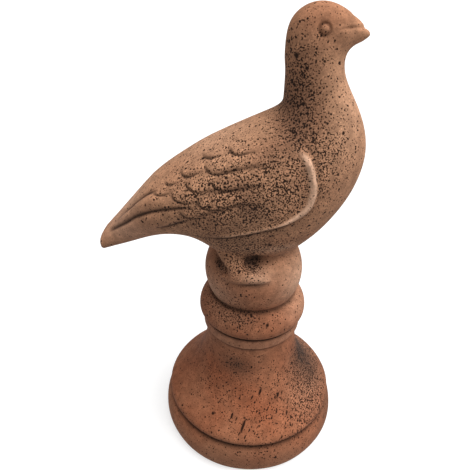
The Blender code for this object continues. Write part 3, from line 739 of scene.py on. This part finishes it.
def mesh_normals(mesh):
    """The outward direction at each of a mesh's points."""
    flat = np.empty(len(mesh.vertices) * 3, np.float32)
    mesh.vertex_normals.foreach_get("vector", flat)
    return flat.reshape(-1, 3).astype(float)


def place_points(mesh, points):
    """Put a mesh's points at new places, given in drawn millimetres."""
    mesh.vertices.foreach_set("co", (points * UNIT).astype(np.float32).ravel())
    mesh.update()


def settled(points, edges, pull, rounds):
    """Points moved again and again towards the mean of their neighbours, as far as their pull says."""
    ends, others = np.concatenate([edges, edges[:, ::-1]]).T
    share = np.maximum(np.bincount(ends, minlength=len(points)), 1)
    for _ in range(rounds):
        means = [np.bincount(ends, points[others, axis], len(points)) / share for axis in range(3)]
        points = points + pull[:, None] * (np.stack(means, axis=1) - points)
    return points


def grown_together(shells):
    """One even skin round all the pieces, softened where they meet, as in a moulded casting.

    Blender's voxel remesh gives the skin. Its points then move towards the mean of their neighbours,
    most under the belly and less round the feet.
    """
    rough = cast("rough", shells)
    even = rough.modifiers.new("even skin", "REMESH")
    even.mode = "VOXEL"
    even.voxel_size = SKIN_STEP * UNIT
    mesh = bpy.data.meshes.new_from_object(rough.evaluated_get(bpy.context.evaluated_depsgraph_get()))
    bpy.data.objects.remove(rough)
    points, edges = mesh_points(mesh), mesh_edges(mesh)
    points = settled(points, edges, np.full(len(points), SOFTENING), SKIN_ROUNDS)
    near = fade(np.hypot(points[:, 0], points[:, 1]), SOFT_OUT) * fade(points[:, 2], SOFT_UP)
    feet = near * fade(points[:, 2], SOFT_FEET)
    belly = near * fade(points[:, 2], SOFT_BELLY)
    points = settled(points, edges, SOFTENING * feet, FOOT_ROUNDS)
    points = settled(points, edges, SOFTENING * belly, BELLY_ROUNDS)
    place_points(mesh, points)
    return mesh


def wing_places(points):
    """Places on the dove as u and v on the wing, both sides alike: the side view turned by its slope."""
    x, z = points[:, 0] - WING_FRONT[0], points[:, 2] - BELLY_HEIGHT - WING_FRONT[1]
    slope_cos, slope_sin = math.cos(WING_SLOPE), math.sin(WING_SLOPE)
    return np.stack([-x * slope_cos - z * slope_sin, -x * slope_sin + z * slope_cos], axis=1)


def feather_relief(places):
    """Carved feathers, as their height over the wing and the strength of the lines round them.

    A feather is a lobe with an elliptical tip. It is highest at the tip and the lower edge, where it
    drops off into a line, and it dies away towards its root and its upper edge. A fold is a bell curve
    across its line, times the root of a half sine wave along it.
    """
    relief, lines = np.zeros(len(places)), np.zeros(len(places))
    for tip, height, half, length, rise in FEATHERS:
        along = tip - places[:, 0]
        across = (places[:, 1] - height - rise * np.maximum(along, 0)) / half
        out = np.hypot(np.maximum(1 - along / (half * FEATHER_TIP), 0), across)
        edge = (1 - out) * half
        low = 1 - smooth_step(across + FEATHER_SINKS)
        back = 1 - smooth_step((along / length - FEATHER_FULL) / (1 - FEATHER_FULL))
        relief = np.maximum(relief, smooth_step(edge / FEATHER_EDGE + FEATHER_LAP) * low * back)
        lines = np.maximum(lines, bell_curve(edge + LINE_OUT, LINE_WIDTH) * low * back)
    start = fade(places[:, 0], FEATHER_FADE)
    folds = np.zeros(len(places))
    for points in FOLDS:
        distance, share = nearest_on(places, line_through(points, FOLD_POINTS))
        folds = np.maximum(folds, bell_curve(distance, FOLD_WIDTH) * np.sin(math.pi * share) ** 0.5)
    return relief * start - FOLD_DEPTH / FEATHER_LIFT * folds, np.maximum(lines * start, FOLD_SHADE_AND_DIRT * folds)


def quill_relief(places):
    """The long quills at the wing's tip: two rolls between three lines, with a groove at each line.

    A roll is a parabola across, with its crest moved towards its upper line; its height follows
    its width, so it sinks as it narrows.
    """
    u, v = places.T
    ends = fade(u, QUILL_START) * fade(u, QUILL_END[::-1])
    lines = [line_through(points, QUILL_POINTS) for points, _, _ in QUILL_LINES]
    levels = [np.interp(u, line[:, 0], line[:, 1]) for line in lines]
    relief = np.zeros(len(places))
    for top, bottom, lift, lean in zip(levels, levels[1:], QUILL_LIFTS, QUILL_LEANS):
        width = np.maximum(top - bottom, QUILL_LEAST)
        share = np.clip((v - bottom) / width, 0.0, 1.0)
        bent = np.where(share < lean, share / lean, 1 + (share - lean) / (1 - lean)) - 1
        relief += np.minimum(lift * width, QUILL_MOST) * np.clip(1 - bent**2, 0, 1)
    grooves = np.zeros(len(places))
    for line, (_, start, end) in zip(lines, QUILL_LINES):
        line_ends = fade(u, start) * fade(u, end[::-1])
        grooves = np.maximum(grooves, bell_curve(nearest_on(places, line)[0], QUILL_LINE_WIDTH) * line_ends)
    return relief * ends, grooves


def wing_relief(places):
    """How far the wing stands over the body, how much painted shade and dirt its lines and the strip outside
    its edge get, and how worn the rim is.

    A rolled rim, a bell curve across, follows the front and the lower edge, and feathers and quills are
    carved in the field. The field rises quickly from the rim's side and slowly from the shoulder's.
    """
    edge = line_through(WING_EDGE, EDGE_POINTS)
    inside = inside_outline(places, edge)
    shoulder = np.argmin(np.linalg.norm(edge - RIM_SHOULDER, axis=1))
    from_edge = nearest_on(places, edge[: shoulder + 1])[0]
    to_rim = np.where(inside, from_edge, 0.0)
    to_back = np.where(inside, nearest_on(places, edge[shoulder:])[0], 0.0)
    u, v = places.T
    below = fade(u, RIM_NARROWS)
    crest, rim_width, rim_height = (
        front + (bottom - front) * below for front, bottom in (RIM_CREST, RIM_WIDTH, WING_RIM)
    )
    rim = (1 - fade(u, RIM_END)) * (1 - fade(v, RIM_TOP)) * bell_curve(to_rim - crest, rim_width)
    tip = fade(u, TIP_START)
    feathers, lines = feather_relief(places)
    quills, grooves = quill_relief(places)
    in_field = smooth_step(to_rim / WING_FADE[0]) * smooth_step(to_back / WING_FADE[1])
    thinner = FIELD_THINNER * fade(u, THINNER_ALONG) * (1 - fade(v, THINNER_ABOVE))
    height = WING_FIELD * (1 - thinner) + (rim_height - WING_FIELD) * rim
    rise = smooth_step(to_rim / (BORDER_RISE[0] + BORDER_RISE[1] * fade(u, RIM_END)))
    rise *= smooth_step(to_back / (SHOULDER_FADE + (TIP_EDGE - SHOULDER_FADE) * tip))
    relief = height * rise + (FEATHER_LIFT * feathers - LINE_DEPTH * lines) * in_field
    relief += quills - QUILL_LINE_DEPTH * grooves
    # a painted shadow in a strip just outside the wing's edge
    under = np.where(inside, 0.0, bell_curve(from_edge, EDGE_SHADOW_WIDTH) * fade(u, EDGE_SHADOW_END))
    under *= EDGE_SHADOW_FRONT + (1 - EDGE_SHADOW_FRONT) * below
    cover = rim**COVER_POWER * rise * (RIM_COVER[0] + (RIM_COVER[1] - RIM_COVER[0]) * below)
    return relief, np.maximum(np.maximum(lines * in_field, grooves), under), cover


def groove(view, points, width):
    """Strength of a groove along a smooth line in the side view: a bell curve of the distance from it."""
    distance, share = nearest_on(view, line_through(points, FACE_POINTS))
    start, reach = FACE_START
    return (start + (1 - start) * smooth_step(share / reach)) * bell_curve(distance, width)


def head_relief(points):
    """The height of the face's carving, and how much painted shade and dirt its lines get.

    The eye is a bead, a parabola round its middle, in a groove and a soft hollow. The mouth and the cere
    are grooves, and the lore is a soft hollow before the eye. Grooves and hollows are bell curves.
    """
    view = points[:, [0, 2]] - np.array([0.0, BELLY_HEIGHT])
    eye = np.hypot(view[:, 0] - EYE_PLACE[0], view[:, 1] - EYE_PLACE[1])
    middle, width, depth = EYE_GROOVE
    ring, mouth = bell_curve(eye - middle, width), groove(view, MOUTH_LINE, MOUTH_WIDTH)
    relief = EYE_RISE * np.clip(1 - (eye / EYE_RADIUS) ** 2, 0, 1)
    relief -= depth * ring
    relief -= EYE_HOLLOW[1] * bell_curve(eye, EYE_HOLLOW[0])
    relief -= LORE_HOLLOW[2] * mound(view, LORE_PLACE, LORE_HOLLOW[:2])
    relief -= MOUTH_DEPTH * mouth + CERE_DEPTH * groove(view, CERE_LINE, CERE_WIDTH)
    return relief, np.maximum(ring, mouth * fade(view[:, 0], MOUTH_CLEAN))


def store(mesh, name, values):
    """Keep a number for each point on the mesh."""
    mesh.attributes.new(name, "FLOAT", "POINT").data.foreach_set("value", values.astype(np.float32))


def taken(mesh, name):
    """A stored number for each point, taken off the mesh."""
    values = np.empty(len(mesh.vertices), np.float32)
    mesh.attributes[name].data.foreach_get("value", values)
    mesh.attributes.remove(mesh.attributes[name])
    return values.astype(float)


def carve(mesh):
    """Carve the dove: the height of the carving is added along the skin's outward direction.

    The painted shade and dirt in the carved lines and the wear of the wing's rim are kept on the mesh for
    the weathering.
    """
    points, normals = mesh_points(mesh), mesh_normals(mesh)
    relief = uneven(points, *UNEVEN_SKIN) * fade(points[:, 2], UNEVEN_BALL)
    sideways = fade(np.abs(normals[:, 1]), SIDEWAYS)
    wings = (sideways > 0) & (points[:, 2] > BELLY_HEIGHT + WINGS_FROM)
    head = points[:, 2] > BELLY_HEIGHT + HEAD_FROM
    lines, rim = np.zeros(len(points)), np.zeros(len(points))
    wing, wing_lines, wing_rim = wing_relief(wing_places(points[wings]))
    relief[wings] += sideways[wings] * wing
    lines[wings] = WING_SHADE_AND_DIRT * sideways[wings] * wing_lines
    rim[wings] = sideways[wings] * wing_rim
    face, face_lines = head_relief(points[head])
    relief[head] += face
    lines[head] = np.maximum(lines[head], HEAD_SHADE_AND_DIRT * face_lines)
    for *numbers, depth in PITS:
        relief -= depth * mound(one_side(points), numbers[:3], numbers[3:])
    points = points + normals * relief[:, None]
    edges, quilled = mesh_edges(mesh), np.zeros(len(points))
    quilled[wings] = fade(wing_places(points[wings])[:, 0], QUILL_START)
    points = settled(points, edges, np.full(len(points), SOFTENING), CARVE_ROUNDS)
    place_points(mesh, settled(points, edges, SOFTENING * quilled, QUILL_ROUNDS))
    store(mesh, "carved", lines)
    store(mesh, "rim", rim)


def joined(stem, mesh):
    """The stem and the carved skin as one closed surface; they meet at the foot of the ball."""
    upper = bpy.data.objects.new("upper", mesh)
    bpy.context.scene.collection.objects.link(upper)
    union = stem.modifiers.new("union", "BOOLEAN")
    union.operation = "UNION"
    union.solver = "MANIFOLD"
    union.object = upper
    flat = stem.modifiers.new("triangles", "TRIANGULATE")
    flat.keep_custom_normals = False
    whole = bpy.data.meshes.new_from_object(stem.evaluated_get(bpy.context.evaluated_depsgraph_get()))
    bpy.data.objects.remove(upper)
    bpy.data.objects.remove(stem)
    points = mesh_points(whole)
    outside = np.hypot(points[:, 0], points[:, 1]) > SEAM_FROM
    seam = bell_curve(points[:, 2] - RING_TOP, SEAM_WIDTH) * outside
    place_points(whole, settled(points, mesh_edges(whole), SOFTENING * seam, SEAM_ROUNDS))
    return whole


def thinned(mesh, name):
    """The casting as an object, with flat places thinned until it has the most triangles allowed."""
    made = bpy.data.objects.new(name, mesh)
    bpy.context.scene.collection.objects.link(made)
    thin = made.modifiers.new("thin", "DECIMATE")
    thin.ratio = MOST_TRIANGLES / len(mesh.polygons)
    made.data = bpy.data.meshes.new_from_object(made.evaluated_get(bpy.context.evaluated_depsgraph_get()))
    made.modifiers.clear()
    bpy.data.meshes.remove(mesh)
    made.data.name = name
    return made


def patches(points, table):
    """How strongly soft round patches cover each point, both sides alike.

    Each patch is its middle (x, y, z), its reach along x, y and z, and its strength; its cover falls off
    as a bell curve. What all the patches together leave bare is the product of what each leaves bare.
    """
    bare, folded = np.ones(len(points)), one_side(points)
    for *numbers, strength in table:
        bare *= 1 - strength * mound(folded, numbers[:3], numbers[3:])
    return 1 - bare


def weather(mesh):
    """Store on the skin where spray, soot, warm and pale clay, lines of painted shade and dirt, and runs of
    paint lie.

    The wing's rim is worn clear of spray and soot, and the legs and feet of soot. A line of painted shade
    round the stem is a bell curve of the height, and the patch under the foot is a painted shadow.
    """
    points, carved = mesh_points(mesh), taken(mesh, "carved")
    rim_cover = np.minimum(taken(mesh, "rim"), 1.0)
    stem_shade = np.zeros(len(points))
    for height, width, strength in STEM_SHADE_LINES:
        stem_shade = np.maximum(stem_shade, strength * bell_curve(points[:, 2] - height, width))
    from_ball = np.linalg.norm(points - np.array([0.0, 0.0, BALL_CENTRE]), axis=1) - BALL_RADIUS
    legs = fade(points[:, 0], LEG_FRONT) * fade(points[:, 2], LIMB_TOP)
    feet = fade(points[:, 2], FOOT_TOP)
    limbs = fade(from_ball, LIMB_CLEAR) * (points[:, 2] > LIMB_BOTTOM) * np.maximum(legs, feet)
    clear = np.maximum(rim_cover, limbs)
    masks = {
        "spray": patches(points, SPRAY) * (1 - CLEAR_SHARE * rim_cover),
        "soot": patches(points, SOOT) * (1 - CLEAR_SHARE * clear),
        "warm": patches(points, WARM),
        "pale": np.maximum(patches(points, PALE), rim_cover),
        # painted shade and dirt in the carved lines, painted shade in the stem's creases, a painted shadow
        # under the foot
        "line": np.max([carved, stem_shade, patches(points, FOOT_SHADOW)], axis=0),
        "runs": patches(points, RUNS),
    }
    for name, values in masks.items():
        store(mesh, name, values)


def colour(code):
    """An sRGB hex colour as linear red, green, blue and alpha."""
    shares = [int(code[i : i + 2], 16) / 255 for i in (1, 3, 5)]
    return [s / 12.92 if s <= 0.04045 else ((s + 0.055) / 1.055) ** 2.4 for s in shares] + [1.0]


def add(tree, kind, values=None, **settings):
    """Add a node; the settings are its own, and each value is a number, a colour, a node's output, or a
    node, for its first output.
    """
    node = tree.nodes.new("ShaderNode" + kind)
    for name, setting in settings.items():
        setattr(node, name, setting)
    for name, value in (values or {}).items():
        if isinstance(value, bpy.types.Node):
            value = value.outputs[0]
        if isinstance(value, bpy.types.NodeSocket):
            tree.links.new(value, node.inputs[name])
        else:
            node.inputs[name].default_value = value
    return node


def specks(tree, place, cell, radii, share):
    """Specks of spray: one in each cell, where the cell's chance is under the share. Radii run from the
    smallest to the largest, and the speck's edge is soft.
    """
    smallest, largest = radii
    cells = add(tree, "TexVoronoi", {"Vector": place, "Scale": 1 / cell})
    chance = add(tree, "SeparateColor", {"Color": cells.outputs["Color"]})
    kept = add(tree, "Math", {0: chance.outputs["Red"], 1: share}, operation="LESS_THAN")
    sizes = {0: chance.outputs["Green"], 1: (largest - smallest) / cell, 2: smallest / cell}
    radius = add(tree, "Math", sizes, operation="MULTIPLY_ADD")
    reach = add(tree, "Math", {0: radius, 1: kept}, operation="MULTIPLY")
    inside = add(tree, "Math", {0: reach, 1: cells.outputs["Distance"]}, operation="SUBTRACT")
    return add(tree, "Math", {0: inside, 1: cell / SPECK_EDGE}, operation="MULTIPLY", use_clamp=True)


def clay_layers(tree, masks, broad, blotch, grit):
    """The clay's own colours: redder and paler places, then a mottle and fine flecks."""
    warmth = add(tree, "MapRange", {"Value": broad, **dict(zip(RANGE, WARMTH))})
    warmer = add(tree, "Math", {0: warmth, 1: masks["warm"]}, operation="ADD", use_clamp=True)
    mottle = add(tree, "MapRange", {"Value": blotch, **dict(zip(RANGE, MOTTLE))})
    flecks = add(tree, "MapRange", {"Value": grit, **dict(zip(RANGE, FLECKS))})
    return [
        (warmer, colour(WARM_CLAY), "MIX"),
        (masks["pale"], colour(PALE_CLAY), "MIX"),
        (1.0, mottle, "MULTIPLY"),
        (1.0, flecks, "MULTIPLY"),
    ]


def grime_and_shade_layers(tree, masks, blotch):
    """Soot in patches, then painted shade and dirt in hollows and lines, less where the clay is pale, then
    worn ridges.
    """
    patchy = add(tree, "MapRange", {"Value": blotch, **dict(zip(RANGE, SOOT_PATCHES))})
    soot = add(tree, "Math", {0: masks["soot"], 1: patchy}, operation="MULTIPLY", use_clamp=True)
    sprayed = {0: masks["spray"], 1: SPRAY_SOOT, 2: soot}
    soot = add(tree, "Math", sprayed, operation="MULTIPLY_ADD", use_clamp=True)
    # painted shade with dirt: darker where the clay is less open
    reach = {"Distance": HOLLOW_SHADE_REACH / MILLIMETRES}
    hollow = add(tree, "AmbientOcclusion", reach, samples=HOLLOW_SAMPLES, only_local=True)
    shade_and_dirt = add(tree, "MapRange", {"Value": hollow.outputs["AO"], **dict(zip(RANGE, HOLLOW_SHADE_AND_DIRT))})
    clean = add(tree, "MapRange", {"Value": masks["pale"], **dict(zip(RANGE, PALE_SHADE_AND_DIRT))})
    shade_and_dirt = add(tree, "Math", {0: shade_and_dirt, 1: clean}, operation="MULTIPLY")
    lined = {0: masks["line"], 1: LINE_SHADE_AND_DIRT, 2: shade_and_dirt}
    shade_and_dirt = add(tree, "Math", lined, operation="MULTIPLY_ADD", use_clamp=True)
    reach = {"Distance": RIDGE_REACH / MILLIMETRES}
    ridge = add(tree, "AmbientOcclusion", reach, samples=RIDGE_SAMPLES, only_local=True, inside=True)
    worn = add(tree, "MapRange", {"Value": ridge.outputs["AO"], **dict(zip(RANGE, RIDGE_WEAR))})
    return [
        (soot, colour(SOOT_COLOUR), "MIX"),
        (shade_and_dirt, colour(SHADE_AND_DIRT_COLOUR), "MIX"),
        (worn, colour(WORN_COLOUR), "MIX"),
    ]


def paint_layers(tree, masks, place, blotch, grit, fine):
    """Black spray, with the clay between its specks left light.

    The finest is a noise, dark over a level that falls as the spray thickens. Over it lie two sizes of
    specks, specks drawn out into runs down the bell, and single blots.
    """
    crowd = add(tree, "MapRange", {"Value": blotch, **dict(zip(RANGE, SPRAY_CROWDS))})
    spray = add(tree, "Math", {0: masks["spray"], 1: crowd}, operation="MULTIPLY")
    level = add(tree, "MapRange", {"Value": spray, **dict(zip(RANGE, SPRAY_LEVELS))})
    over = add(tree, "Math", {0: fine, 1: level}, operation="SUBTRACT")
    dark = add(tree, "Math", {0: over, 1: 1 / SPRAY_EDGE}, operation="MULTIPLY", use_clamp=True)
    level = add(tree, "MapRange", {"Value": spray, **dict(zip(RANGE, BARE_LEVELS))})
    under = add(tree, "Math", {0: level, 1: fine}, operation="SUBTRACT")
    light = add(tree, "Math", {0: under, 1: 1 / BARE_EDGE}, operation="MULTIPLY", use_clamp=True)

    shake = add(tree, "VectorMath", {0: grit.outputs["Color"], "Scale": SPECK_SHAKE}, operation="SCALE")
    rough_place = add(tree, "VectorMath", {0: place, 1: shake}, operation="ADD")
    run_turn = Vector((1, 0, 0)).rotation_difference(Vector(RUN_WAY)).to_euler()
    stretch = {"Vector": rough_place, "Rotation": run_turn, "Scale": (RUN_STRETCH, 1, 1)}
    drawn_out = add(tree, "Mapping", stretch, vector_type="TEXTURE")
    kinds = [(rough_place, spray, *row) for row in SPECKS]
    kinds += [(drawn_out, masks["runs"], *row) for row in RUN_SPECKS]
    for where, thickness, cell, radii, thick in kinds:
        share = add(tree, "Math", {0: thickness, 1: thick}, operation="MULTIPLY")
        layer = specks(tree, where, cell, radii, share)
        dark = add(tree, "Math", {0: dark, 1: layer}, operation="MAXIMUM")
    for *middle, half_length, half_width in BLOTS:
        size = (half_length, half_width, half_width)
        turned = {"Vector": rough_place, "Location": middle, "Rotation": run_turn, "Scale": size}
        spot = add(tree, "Mapping", turned, vector_type="TEXTURE")
        far = add(tree, "VectorMath", {0: spot}, operation="LENGTH")
        blot = add(tree, "MapRange", {"Value": far.outputs["Value"], **dict(zip(RANGE, BLOT_EDGE))})
        dark = add(tree, "Math", {0: dark, 1: blot}, operation="MAXIMUM")
    paint = add(tree, "Math", {0: dark, 1: PAINT_COVER}, operation="MULTIPLY")
    return [(light, (BARE_LIFT, BARE_LIFT, BARE_LIFT, 1.0), "MULTIPLY"), (paint, colour(SPECK_COLOUR), "MIX")]


def fired_clay():
    """Unglazed terracotta, pressed and turned, fired, then weathered outdoors.

    It gives the eye a matt, chalky tan skin, more orange on the crown and the foot, fine mottling, black
    specks of spray that thicken to a sooty bloom on the wings and in the hollows, painted shade and dirt in
    hollows and lines, and paler worn ridges.
    Its colour is laid on in layers, each as its share, its colour and the way it is mixed.
    """
    material = bpy.data.materials.new("unglazed terracotta")
    material.use_nodes = True
    tree = material.node_tree
    shader = tree.nodes["Principled BSDF"]
    masks = {name: add(tree, "Attribute", attribute_name=name).outputs["Fac"] for name in MASKS}
    metres = add(tree, "TexCoord").outputs["Object"]
    place = add(tree, "VectorMath", {0: metres, "Scale": MILLIMETRES}, operation="SCALE")
    broad, blotch, grit, fine = (
        add(tree, "TexNoise", {"Vector": place, "Scale": 1 / size, "Detail": detail, "Roughness": rough})
        for size, detail, rough in NOISES
    )
    skin = colour(CLAY)
    for share, layer, way in (
        *clay_layers(tree, masks, broad, blotch, grit),
        *grime_and_shade_layers(tree, masks, blotch),
        *paint_layers(tree, masks, place, blotch, grit, fine),
    ):
        skin = add(tree, "MixRGB", {"Fac": share, "Color1": skin, "Color2": layer}, blend_type=way)
    tree.links.new(skin.outputs["Color"], shader.inputs["Base Color"])

    matt = add(tree, "MapRange", {"Value": grit, **dict(zip(RANGE, ROUGHNESS))})
    tree.links.new(matt.outputs["Result"], shader.inputs["Roughness"])
    grain_size = {"Height": grit, "Strength": GRAIN_STRENGTH, "Distance": GRAIN_HEIGHT / MILLIMETRES}
    tree.links.new(add(tree, "Bump", grain_size).outputs["Normal"], shader.inputs["Normal"])
    shader.inputs["Specular IOR Level"].default_value = SHEEN
    return material


def studio_floor():
    """A wide light table under the foot: a white board lit from below, which keeps its shadow light."""
    bpy.ops.mesh.primitive_plane_add(size=FLOOR_SIZE)
    floor = bpy.context.object
    floor.name = "studio_floor"
    material = bpy.data.materials.new("opal acrylic")
    material.use_nodes = True
    shader = material.node_tree.nodes["Principled BSDF"]
    shader.inputs["Base Color"].default_value = colour(FLOOR_COLOUR)
    shader.inputs["Roughness"].default_value = FLOOR_ROUGHNESS
    shader.inputs["Emission Color"].default_value = colour(WHITE)
    shader.inputs["Emission Strength"].default_value = FLOOR_GLOW
    floor.data.materials.append(material)
    floor.visible_diffuse = False


def studio_light():
    """A white room, and a very wide soft lamp high on the side that the dove faces."""
    world = bpy.data.worlds.new("white room")
    world.use_nodes = True
    background = world.node_tree.nodes["Background"]
    background.inputs["Color"].default_value = colour(WHITE)
    background.inputs["Strength"].default_value = ROOM_LIGHT
    bpy.context.scene.world = world
    lamp = bpy.data.lights.new("key lamp", "SUN")
    lamp.energy = KEY_LIGHT
    lamp.angle = KEY_WIDTH
    key = bpy.data.objects.new("key lamp", lamp)
    key.rotation_euler = (-Vector(KEY_FROM)).to_track_quat("-Z", "Y").to_euler()
    bpy.context.scene.collection.objects.link(key)
    bpy.context.scene.view_settings.view_transform = "Standard"


def camera():
    """The picture's viewpoint: its lens in sensor millimetres, and its middle shifted by a few pixels."""
    tilt, yaw = CAMERA_TILT, CAMERA_YAW
    ahead = Vector((math.sin(yaw) * math.cos(tilt), math.cos(yaw) * math.cos(tilt), -math.sin(tilt)))
    right = Vector((math.cos(yaw), -math.sin(yaw), 0.0))
    up = right.cross(ahead)
    turned = Matrix.Rotation(CAMERA_ROLL, 3, -ahead)
    seen = bpy.data.objects.new("camera", bpy.data.cameras.new("camera"))
    axes = Matrix((turned @ right, turned @ up, -ahead)).transposed()
    seen.matrix_world = Matrix.Translation(CAMERA_PLACE) @ axes.to_4x4()
    seen.data.sensor_width = SENSOR_WIDTH
    seen.data.lens = FOCUS_PIXELS / PICTURE_SIZE * SENSOR_WIDTH
    seen.data.shift_x = -(VIEW_MIDDLE[0] - PICTURE_SIZE / 2) / PICTURE_SIZE
    seen.data.shift_y = (VIEW_MIDDLE[1] - PICTURE_SIZE / 2) / PICTURE_SIZE
    seen.data.clip_start = CAMERA_NEAREST
    bpy.context.scene.collection.objects.link(seen)
    bpy.context.scene.camera = seen


shells = [dove_body(), ball()]
for side in (1, -1):
    shells.append(limb(LEG_SECTIONS, side, (0, 1)))
    shells.append(limb(FOOT_SECTIONS, side, (1, 2)))
upper = grown_together(shells)
carve(upper)
finial = thinned(joined(turned_stem(), upper), "finial_casting")
weather(finial.data)
finial.data.shade_smooth()
finial.data.materials.clear()
finial.data.materials.append(fired_clay())
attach(finial, "root")
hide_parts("finial")

studio_floor()
studio_light()
camera()
